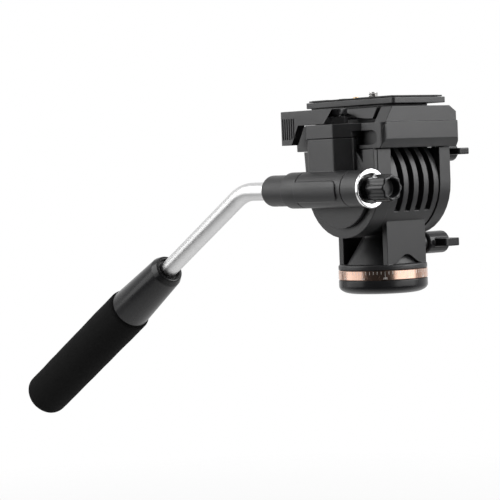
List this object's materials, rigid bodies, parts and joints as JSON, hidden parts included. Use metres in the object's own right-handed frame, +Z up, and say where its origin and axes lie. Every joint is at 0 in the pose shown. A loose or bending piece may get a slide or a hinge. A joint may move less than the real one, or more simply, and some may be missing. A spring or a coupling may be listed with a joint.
{
  "type": "fluid video head",
  "caption": "Pan and tilt video head with a slotted tilt drum, a clamped camera plate, winged locks and a bent handle with a foam grip.",
  "frame": {"origin": "where the pan axis meets the flat underside of the base", "axes": "+Z up the pan axis, +Y the way the camera looks, +X towards the handle side"},
  "size_m": [0.1217, 0.4063, 0.2319],
  "materials": {
    "black_casting": "fine satin black coat",
    "black_gloss": "glossy black",
    "black_plastic": "satin black",
    "foam": "matt black closed-cell foam",
    "rubber_pad": "matt black rubber",
    "copper": "brushed copper-coloured anodised ring",
    "brass": "turned brass",
    "chrome": "polished",
    "steel": "plain steel",
    "aluminium": "satin anodised",
    "nylon": "natural nylon"
  },
  "bodies": {
    "base": {"base_cup": "black_gloss", "degree_ring": "copper", "tripod_bush": "brass", "pan_spindle": "steel", "thrust_washer": "nylon", "spring_washer": "steel", "spindle_nut": "steel", "spindle_screw_1": "steel", "spindle_screw_2": "steel", "spindle_screw_3": "steel"},
    "pan_head": {"pan_housing": "black_casting", "pan_bush": "brass", "pan_lock_pad": "nylon", "tilt_bush_left": "brass", "tilt_bush_right": "brass", "damper_case": "black_plastic", "damper_cover": "black_plastic"},
    "pan_lock": {"pan_lock_knob": "black_gloss", "pan_lock_bolt": "steel"},
    "tilt_head": {"platform": "black_casting", "left_yoke_arm": "black_casting", "right_yoke_arm": "black_casting", "handle_mount": "black_casting", "front_sleeve": "black_casting", "rosette_ring": "chrome", "tilt_axle": "steel", "damper_rotor": "aluminium", "axle_screw_left": "steel", "axle_screw_right": "steel", "right_axle_cap": "black_plastic", "platform_screw_1": "steel", "platform_screw_2": "steel", "platform_screw_3": "steel", "platform_screw_4": "steel", "mount_screw_1": "steel", "mount_screw_2": "steel", "tilt_lock_pad": "nylon", "quick_release_plate": "black_casting", "plate_pad": "rubber_pad", "video_pin_spring": "steel", "video_pin_plug": "steel"},
    "tilt_lock": {"tilt_lock_knob": "black_gloss", "tilt_lock_bolt": "steel"},
    "jaw": {"plate_jaw": "black_casting"},
    "lever": {"plate_lever": "black_casting", "pivot_cap": "black_gloss"},
    "camera_screw": {"camera_screw": "steel"},
    "video_pin": {"video_pin": "brass"},
    "handle": {"handle_socket": "black_casting", "handle_stud": "steel", "handle_tube": "aluminium", "clamp_screw": "steel", "grip_sleeve": "black_gloss", "grip_core": "black_plastic", "foam_grip": "foam"},
    "handle_knob": {"handle_knob": "black_gloss", "knob_insert": "brass"}
  },
  "joints": [
    {"name": "pan", "type": "hinge", "parent": "base", "child": "pan_head", "pos_m": [0, 0, 0.0196], "axis": [0, 0, 1], "continuous": true},
    {"name": "tilt", "type": "hinge", "parent": "pan_head", "child": "tilt_head", "pos_m": [0, 0, 0.073], "axis": [1, 0, 0], "range_deg": [-80, 60]},
    {"name": "pan_lock_turn", "type": "hinge", "parent": "pan_head", "child": "pan_lock", "pos_m": [-0.038, 0, 0.0315], "axis": [-1, 0, 0], "range_deg": [0, 180]},
    {"name": "tilt_lock_turn", "type": "hinge", "parent": "tilt_head", "child": "tilt_lock", "pos_m": [-0.0359, 0.02, 0.0932], "axis": [-1, 0, 0], "range_deg": [0, 180]},
    {"name": "lever_turn", "type": "hinge", "parent": "tilt_head", "child": "lever", "pos_m": [0.0378, 0.0007, 0.12], "axis": [0, 0, 1], "range_deg": [0, 45]},
    {"name": "jaw_slide", "type": "slide", "parent": "tilt_head", "child": "jaw", "axis": [1, 0, 0], "range_m": [0, 0.0012]},
    {"name": "camera_screw_turn", "type": "hinge", "parent": "tilt_head", "child": "camera_screw", "pos_m": [0, -0.003, 0.124], "axis": [0, 0, 1], "continuous": true},
    {"name": "video_pin_press", "type": "slide", "parent": "tilt_head", "child": "video_pin", "axis": [0, 0, -1], "range_m": [0, 0.0016], "stiffness_N_per_m": 800, "springref_m": -0.001, "deforming": ["video_pin_spring"]},
    {"name": "handle_swing", "type": "hinge", "parent": "tilt_head", "child": "handle", "pos_m": [0.047, -0.0212, 0.071], "axis": [0, 1, 0], "continuous": true},
    {"name": "handle_knob_turn", "type": "hinge", "parent": "tilt_head", "child": "handle_knob", "pos_m": [0.047, 0.044, 0.071], "axis": [0, 1, 0], "continuous": true}
  ],
  "couplings": [
    {"joint": "jaw_slide", "follows": "lever_turn", "m_per_rad": 0.00152}
  ]
}
